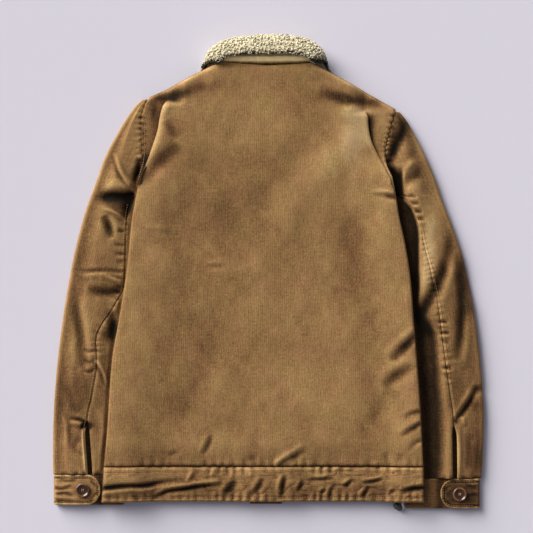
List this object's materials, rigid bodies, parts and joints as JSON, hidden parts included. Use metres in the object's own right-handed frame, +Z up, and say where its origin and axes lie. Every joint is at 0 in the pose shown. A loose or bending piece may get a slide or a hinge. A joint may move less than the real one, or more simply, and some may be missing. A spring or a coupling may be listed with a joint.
{
  "type": "fleece-collared corduroy jacket",
  "caption": "Jacket of tan corduroy with a curly fleece collar, buttoned cuff tabs and a hem band, laid flat with its back up and its sleeves at its sides.",
  "frame": {"origin": "on the surface the jacket lies on, under the middle of its bounding box", "axes": "+X across the back to the right as seen from above, +Y from the hem to the collar, +Z up from the surface"},
  "size_m": [0.635, 0.6986, 0.037],
  "materials": {
    "corduroy": "fine-wale cotton corduroy, matte, faded on its ridges",
    "fleece": "curly pile fleece, matte",
    "button": "glossy, horn-like brown",
    "cord_stop": "satin dark grey"
  },
  "bodies": {
    "root": {"back_panel": "corduroy", "front_left": "corduroy", "front_right": "corduroy", "front_placket": "corduroy", "hem_band_back": "corduroy", "hem_band_front_left": "corduroy", "hem_band_front_right": "corduroy", "collar_stand": "corduroy", "collar_fleece": "fleece", "sleeve_left_upper": "corduroy", "sleeve_left_under": "corduroy", "sleeve_right_upper": "corduroy", "sleeve_right_under": "corduroy", "cuff_left": "corduroy", "cuff_right": "corduroy", "button_left": "button", "button_right": "button", "hem_cord_stop": "cord_stop"}
  },
  "joints": []
}
